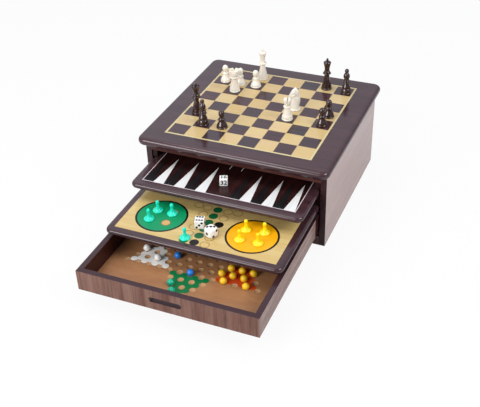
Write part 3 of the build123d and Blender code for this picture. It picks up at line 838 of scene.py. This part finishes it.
def castle(place, turn):
    """The rook: the wall of his tower drops by 3.1 mm in four gaps, wherever
    the sine of twice the angle is near nought."""
    vertices, faces = turned(rook, (0, 0, 0), turn, sides=96)
    around = np.arctan2(vertices[:, 1], vertices[:, 0]) - turn
    top = vertices[:, 2].max()
    vertices[:, 2] -= 3.1 * (vertices[:, 2] > top - 0.1) * (np.abs(np.sin(2 * around)) < 0.42)
    return vertices + place, faces


def mitred(place, turn):
    """The split bishop: a leaning notch, 6.5 mm deep, is cut into his mitre. Its
    depth falls off as e to the minus fourth power of the distance from it."""
    vertices, faces = turned(split, (0, 0, 0), 0, sides=120)
    top = vertices[:, 2].max()
    lean = vertices[:, 0] - 0.3 - 0.35 * (vertices[:, 2] - top)
    notch = np.exp(-(lean / 1.0) ** 4) * np.clip((vertices[:, 2] - top + 9) / 4, 0, 1)
    vertices[:, 2] -= 6.5 * notch
    return placed(vertices, place, turn), faces


print("square c3 has its middle at", [round(float(c), 1) for c in on_square(2, 2)])

# %% [markdown]
# ## The knight
# A knight is carved and not turned. He could be sculpted by hand, but a stack
# of rounded sections from his chest to his brow gives his outline in a few
# rows of numbers, and the small parts that the eye looks for are set into it
# as cones and balls.

# %% The knight
def sphere(radius, points=25):
    """The half circle that turns into a ball."""
    a = np.linspace(0, pi, points)
    return radius * np.stack([np.sin(a), -np.cos(a)], axis=-1)


def horse(place, turn):
    """The knight on the pawn's plinth. Each section is given by its height, its
    front, its back and half its width, and its points are those times the
    cosine and the sine of their angle to the power of 0.85, which squares it
    up a little. A rippled crest of mane runs down his back."""
    sections = through((3.4, 7.7, 7.7, 7.7), (6, 7.7, 8.1, 7.2), (10, 7.6, 8.4, 6.4), (15, 7.4, 8.6, 5.7),
                       (19, 6.4, 8.6, 5.2), (21.6, 5.4, 8.5, 4.9), (22.8, 6.0, 8.4, 4.7),
                       (24.2, 8.8, 8.3, 4.3), (25.6, 10.5, 8.1, 3.9), (27.4, 10.7, 7.9, 3.7),
                       (29.4, 9.6, 7.6, 4.1), (32, 8.2, 7.2, 4.6), (35, 6.6, 6.6, 4.8),
                       (37.4, 5.2, 5.8, 4.3), (39.4, 3.6, 4.6, 3.2), (40.6, 1.8, 3.0, 1.6),
                       (40.9, 0.5, 1.2, 0.4), steps=5)
    around = np.linspace(0, 2 * pi, 48, endpoint=False)
    c, s = np.cos(around), np.sin(around)
    scale = 37 / 42
    z, front, back, half = (sections[:, k, None] * scale for k in range(4))
    middle, reach = (back - front) / 2, (back + front) / 2
    along = middle + reach * np.sign(c) * np.abs(c) ** 0.85
    crest = 0.9 * np.exp(-(s / 0.3) ** 2) * (c > 0)
    crest = crest * np.clip((z - 9) / 6, 0, 1) * np.clip((34 - z) / 4, 0, 1)
    crest = crest * (1 + 0.22 * np.sin(2 * pi * z / 2.6))
    rings = np.stack([along + crest, half * np.sign(s) * np.abs(s) ** 0.85, z + 0 * c], axis=-1)
    foot = turned(profile(3.4 * scale, *plinth), (0, 0, 0), 0)
    ear = profile(4.6, [(0, 0), (1.7, 0)], [(1.7, 0), (1.8, 1.2), (1.4, 2.9), (0.6, 4.2), (0, 4.6)])
    ears = [turned(ear, (0.6, side, 37 - 4.6), sides=16) for side in (-2.4, 2.4)]
    cheeks = [turned(sphere(2.9, 21), (-2.4, side, 24.6), sides=28) for side in (-2.2, 2.2)]
    eyes = [turned(sphere(0.8, 9), (-4.3, side, 28.7), sides=16) for side in (-3.5, 3.5)]
    vertices, faces = join(foot, skin(rings), *ears, *cheeks, *eyes)
    return placed(vertices, place, turn), faces


print("the knight has", len(horse((0, 0, 0), 0)[0]), "points")

# %% [markdown]
# ## The men take their squares
# Each side is moulded from one plastic, so its men are joined into one piece. A
# square is given by its column and its row, counted from 0 at the left front
# corner, and every man stands a little off its middle, as a hand sets him down.

# %% The men take their squares
# Moulded ABS in ivory: light sinks in a little, so the edges glow softly.
ivory = new_finish("ivory_moulded_plastic", Base_Color=linear("#efe7d8"), Roughness=0.22, IOR=1.5,
                   Subsurface_Weight=0.12, Subsurface_Scale=0.004, Coat_Weight=0.3, Coat_Roughness=0.08)[0]
# The same plastic in walnut brown, polished: small bright windows of light.
walnut_plastic = new_finish("walnut_brown_moulded_plastic", Base_Color=linear("#2f130d"), Roughness=0.16,
                            IOR=1.52, Coat_Weight=0.5, Coat_Roughness=0.06)[0]
white_men = [turned(pawn, on_square(0, 6, 3.4, -0.5)), turned(pawn, on_square(1, 6, 2.9, -3.0)),
             turned(pawn, on_square(2, 6, 1.0, -2.0)), castle(on_square(1, 5, 2.6, 1.0), radians(20)),
             turned(king, on_square(2, 7, 1.3, 0.5)), horse(on_square(5, 4, 1.8, 3.1), radians(20)),
             mitred(on_square(5, 3, 1.4, -1.8), radians(20))]
dark_men = [turned(pawn, on_square(2, 1, 2.3, -2.1)), turned(pawn, on_square(7, 3, -0.3, -1.3)),
            turned(pawn, on_square(7, 4, 1.7, -1.7)), turned(bishop, on_square(1, 1, -0.1, -3.0)),
            turned(bishop, on_square(7, 7, 4.4, -3.6)), crowned(on_square(0, 2, 4.0, -1.4), 0.1),
            turned(king, on_square(6, 7, -1.3, 0.7))]
piece("white_chessmen", join(*white_men), ivory, "carcass", ["chessmen_white"], crease=38)
piece("dark_chessmen", join(*dark_men), walnut_plastic, "carcass", ["chessmen_dark"], crease=38)
print("men on the board:", len(white_men) + len(dark_men))

# %% [markdown]
# ## The ludo print
# Ink on the maple: a home circle at each corner with four pale spots, and a
# cross-shaped track. The track has three columns of spots, and a quarter turn
# about the middle of the board carries one arm of the cross to the next. Each
# print is a disc that stands a few hundredths of a millimetre proud.

# %% Discs and inks
ludo_nose = ludo_low[1]
ludo_top = panel_high[2]
rooted = 0.2                    # how deep a print reaches into the panel


def disc(x, y, radius, lift, inner=0.0):
    """A thin round print, or a ring of it, at a place behind the tray's nose:
    its section is a rectangle, carried round its middle."""
    section = [(inner, 0), (radius, 0), (radius, rooted + lift), (inner, rooted + lift)]
    if inner:
        section.append(section[0])
    return turned(np.array(section), (x, ludo_nose + y, ludo_top - rooted), sides=48, closed=not inner)


# Screen-printing ink: flat, opaque and semi-matt.
inks = {name: new_finish(name + "_ink", Base_Color=linear(chart), Roughness=0.4, Specular_IOR_Level=0.35)[0]
        for name, chart in (("green", "#008a56"), ("dark_green", "#075c33"), ("orange", "#f0a800"),
                            ("blue", "#2b62b8"), ("red", "#cf3a2a"), ("brown", "#7d6233"),
                            ("black", "#100c0b"), ("tan", "#c79f66"))}
prints = {name: [] for name in inks}
print("inks:", ", ".join(inks))

# %% Homes and track
middle = 132.5                                      # the print's middle, behind the tray's nose
home_x, home_y, home_spot = 70.2, 57.5, 13          # a home's middle, and its spots from there
home_radius, home_ring = 36.6, (38.5, 35.5)         # its disc, and the outside and inside of its ring
spot, spot_line = 7.0, 0.95                         # a spot of the track and the width of its line
column_pitch, track_pitch, track_start = 16.0, 16.3, 17.2
for x, y, fill in ((-home_x, home_y, "green"), (home_x, home_y, "orange"),
                   (-home_x, 2 * middle - home_y, "blue"), (home_x, 2 * middle - home_y, "red")):
    prints[fill].append(disc(x, y, home_radius, 0.05))
    prints["black"].append(disc(x, y, home_ring[0], 0.06, home_ring[1]))
    for u in (-home_spot, home_spot):
        for v in (-home_spot, home_spot):
            prints["tan"].append(disc(x + u, y + v, 6.3, 0.10))
            prints["brown"].append(disc(x + u, y + v, spot, 0.11, 5.9))
for quarter, ink in enumerate(("dark_green", "orange", "red", "blue")):
    turn_x, turn_y = ((1, 0), (0, 1), (-1, 0), (0, -1))[quarter]
    for row in range(6):
        for column in (-1, 0, 1):
            u, v = column_pitch * column, track_start + track_pitch * row - middle
            x, y = u * turn_x - v * turn_y, u * turn_y + v * turn_x + middle
            filled = ink if (column == 0 and row > 0) or (column == -1 and row == 0) else None
            if (column, row) in ((0, 0), (1, 3)):
                filled = "black"
            if filled:
                prints[filled].append(disc(x, y, 6.8, 0.06))
            else:
                prints["brown"].append(disc(x, y, spot, 0.06, spot - spot_line))
for x, y in ((-31, 101), (31, 101), (-31, 164), (31, 164)):        # the corners of the cross
    prints["brown"].append(disc(x, y, spot, 0.06, spot - spot_line))
for name, shapes in prints.items():
    piece("ludo_print_" + name, join(*shapes), inks[name], "ludo_tray", crease=30)
print("spots printed:", sum(len(shapes) for shapes in prints.values()))

# %% [markdown]
# ## Ludo men
# A ludo man is a peg with a broad foot and a small head, moulded in one. One
# profile serves all eight, at eight places, each a little off its spot.

# %% Ludo men
peg = profile(18, [(0, 0), (7.3, 0)], [(7.3, 0), (7.8, 0.5), (7.7, 1.6), (6.9, 2.6)],
              [(6.9, 2.6), (5.2, 3.5), (3.8, 5), (2.8, 7.2), (2.3, 9.5), (2.1, 12.2)],
              [(2, 12.2), (2.4, 12.8), (2.75, 14.2), (2.75, 15.6), (2.1, 17.2), (1.1, 17.85), (0, 18)])
spots = {"green": [(-home_x - 13.5, home_y - 13.5), (-home_x - 10.8, home_y + 9.45),
                   (-home_x + 12.15, home_y + 9.45), (-15.9, 21.5)],
         "yellow": [(home_x - 13.5, home_y - 13.5), (home_x - 13.5, home_y + 10.8),
                    (home_x + 13.5, home_y + 13.5), (home_x + 13.5, home_y - 12.15)]}
# Moulded polystyrene: semi-gloss, and the thin necks let a little light through.
for team, shade, chart in (("green", "aqua", "#0cdcbb"), ("yellow", "lemon", "#fbdc00")):
    plastic = new_finish(shade + "_moulded_plastic", Base_Color=linear(chart), Roughness=0.32,
                         Coat_Weight=0.2, Coat_Roughness=0.08, Subsurface_Weight=0.1,
                         Subsurface_Scale=0.003)[0]
    men = [turned(peg, (x, ludo_nose + y, ludo_top), sides=40) for x, y in spots[team]]
    piece("ludo_men_in_" + team, join(*men), plastic, "ludo_tray",
          ["ludo_men_" + team], crease=38)
print("ludo men set")

# %% [markdown]
# ## Dice
# A die's face is a sheet with round pips, and six of them are bent over one
# body. For the sharp die a point of the cube is pulled to a box with rounded
# edges: the nearest point of a smaller box, plus the edge radius in the
# direction of what is left. For the soft die each point is pulled to the
# surface where x^3.6 + y^3.6 + z^3.6 = h^3.6.

# %% Die bodies
sides_of_cube = {"top": ((1, 0, 0), (0, 1, 0)), "bottom": ((1, 0, 0), (0, -1, 0)),
                 "front": ((1, 0, 0), (0, 0, 1)), "right": ((0, 1, 0), (0, 0, 1)),
                 "back": ((-1, 0, 0), (0, 0, 1)), "left": ((0, -1, 0), (0, 0, 1))}
patterns = {1: [(0, 0)], 2: [(-1, -1), (1, 1)], 3: [(-1, -1), (0, 0), (1, 1)],
            4: [(-1, -1), (1, -1), (-1, 1), (1, 1)], 5: [(-1, -1), (1, -1), (-1, 1), (1, 1), (0, 0)],
            6: [(-1, -1), (0, -1), (1, -1), (-1, 1), (0, 1), (1, 1)]}


def die(side, numbers, place, turn, edge=None, pip=0.132, spread=0.27, step=0.8):
    """A die of a side: a rounded box if it has an edge radius, else a soft
    cube. Pip radius and spread are shares of the side."""
    h = side / 2
    shapes, flags = [], []
    for name, number in numbers.items():
        u, v = (np.array(axis, float) for axis in sides_of_cube[name])
        centres = [(a * spread * side, b * spread * side) for a, b in patterns[number]] if number else []
        flat_points, faces, flag = pocketed_sheet(side, side, centres, pip * side,
                                                  [(0.75, 0.022 * side), (0.4, 0.04 * side)], 16, step)
        cube = flat_points[:, :1] * u + flat_points[:, 1:2] * v + h * np.cross(u, v)
        if edge:
            core = np.clip(cube, edge - h, h - edge)
            left = cube - core
            body = core + edge * left / np.linalg.norm(left, axis=1, keepdims=True)
        else:
            body = cube * (h / (np.abs(cube) ** 3.6).sum(axis=1, keepdims=True) ** (1 / 3.6))
        shapes.append((body * (1 - flat_points[:, 2:] / h), faces))
        flags += flag
    vertices, faces = join(*shapes)
    return placed(vertices, place, turn) + [0, 0, h], faces, flags


print("a blank die of 14 mm:", len(die(14, {"top": 0}, (0, 0, 0), 0, 1.4)[1]), "faces on its top")

# %% Two dice
# Polished white plastic, and black paint in the hollows of the pips.
die_white = new_finish("white_die_plastic", Base_Color=linear("#f6f3ee"), Roughness=0.2, Coat_Weight=0.4,
                       Coat_Roughness=0.05, Subsurface_Weight=0.1, Subsurface_Scale=0.003)[0]
pip_black = new_finish("black_pip_paint", Base_Color=linear("#121110"), Roughness=0.35)[0]
for name, node, side, numbers, (x, y), turn, extra in (
        ("square_die", "die_square", 14.0, (6, 1, 3, 5, 4, 2), (-7.5, 53.4), 16, {"edge": 1.4}),
        ("soft_die", "die_rounded", 16.5, (3, 4, 1, 2, 6, 5), (16.4, 38.6), -21,
         {"spread": 0.22, "pip": 0.14})):
    numbers = dict(zip(sides_of_cube, numbers))         # from top and bottom round to the left
    vertices, faces, flags = die(side, numbers, (x, ludo_nose + y, ludo_top), radians(turn), **extra)
    piece(name, (vertices, faces), [die_white, pip_black], "ludo_tray", [node], crease=24,
          which=flags)
print("two dice thrown")

# %% [markdown]
# ## The doubling cube
# The cube is a sharp die without pips, with a number on each face. A number is
# a font's outline, made a little bolder and a few hundredths thick. It becomes
# a mesh first and is then turned onto its face, so its object stays at the
# origin like all the others.

# %% The doubling cube
cube_side, cube_turn = 12.0, radians(22)
cube_centre = np.array([-1.5, backgammon_low[1] + 45.0, backgammon_high[2]])
vertices, faces, _ = die(cube_side, {name: 0 for name in sides_of_cube}, cube_centre, cube_turn, edge=1.2)
piece("doubling_cube_body", (vertices, faces), die_white, "backgammon_tray",
      ["doubling_cube"], crease=40)
swung = Matrix.Rotation(cube_turn, 4, "Z")
for name, number in (("top", 16), ("front", 32), ("right", 64), ("back", 2), ("left", 4), ("bottom", 8)):
    text = bpy.data.curves.new("number", "FONT")
    text.body, text.size, text.extrude, text.offset = str(number), 10.0 * mm, 0.06 * mm, 0.22 * mm
    text.align_x, text.align_y = "CENTER", "CENTER"
    holder = bpy.data.objects.new("number", text)
    bpy.context.scene.collection.objects.link(holder)
    bpy.context.view_layer.update()
    mesh = bpy.data.meshes.new_from_object(holder.evaluated_get(bpy.context.evaluated_depsgraph_get()))
    bpy.data.objects.remove(holder)
    u, v = (Vector(axis) for axis in sides_of_cube[name])
    n = u.cross(v)
    onto = Matrix(((u.x, v.x, n.x), (u.y, v.y, n.y), (u.z, v.z, n.z))).to_4x4()
    centre = Matrix.Translation(Vector(cube_centre) * mm + Vector((0, 0, cube_side / 2 * mm)))
    mesh.transform(centre @ swung @ Matrix.Translation(n * (cube_side / 2) * mm) @ onto)
    mesh.materials.clear()
    mesh.materials.append(pip_black)
    number_on_cube = bpy.data.objects.new("cube_number_" + str(number), mesh)
    bpy.context.scene.collection.objects.link(number_on_cube)
    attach(number_on_cube, "backgammon_tray")
print("cube numbered")

# %% [markdown]
# ## Marbles
# Opaque glass marbles of 10.4 mm, each in its own pocket, with its centre
# 3.8 mm above the floor's face. Like the men, they are turnings.

# %% Marbles
marbles = {"white": ("#f3f2ee", [(-10, -2), (-7, -3)]), "blue": ("#1a7ad8", [(-4, -2), (0, -4)]),
           "green": ("#10b088", [(-2, -6), (-1, -7)]),
           "yellow": ("#ffcc22", [(6, -2), (8, -2), (10, -2), (5, -3), (7, -3), (9, -3), (6, -4), (10, -4)])}
for name, (chart, holes) in marbles.items():
    # Opaque glass: one small sharp highlight on an even, deep colour.
    glass = new_finish(name + "_opaque_glass", Base_Color=linear(chart), Roughness=0.28, IOR=1.5,
                       Coat_Weight=0.15, Coat_Roughness=0.08, Subsurface_Weight=0.06,
                       Subsurface_Scale=0.003)[0]
    balls = [turned(sphere(5.2), (i * half_pitch, star_y + j * row_pitch, floor_high[2] + 3.77), sides=40)
             for i, j in holes]
    piece("marbles_in_" + name, join(*balls), glass, "drawer", ["marbles_" + name],
          crease=60)
print("marbles:", sum(len(holes) for _, holes in marbles.values()))
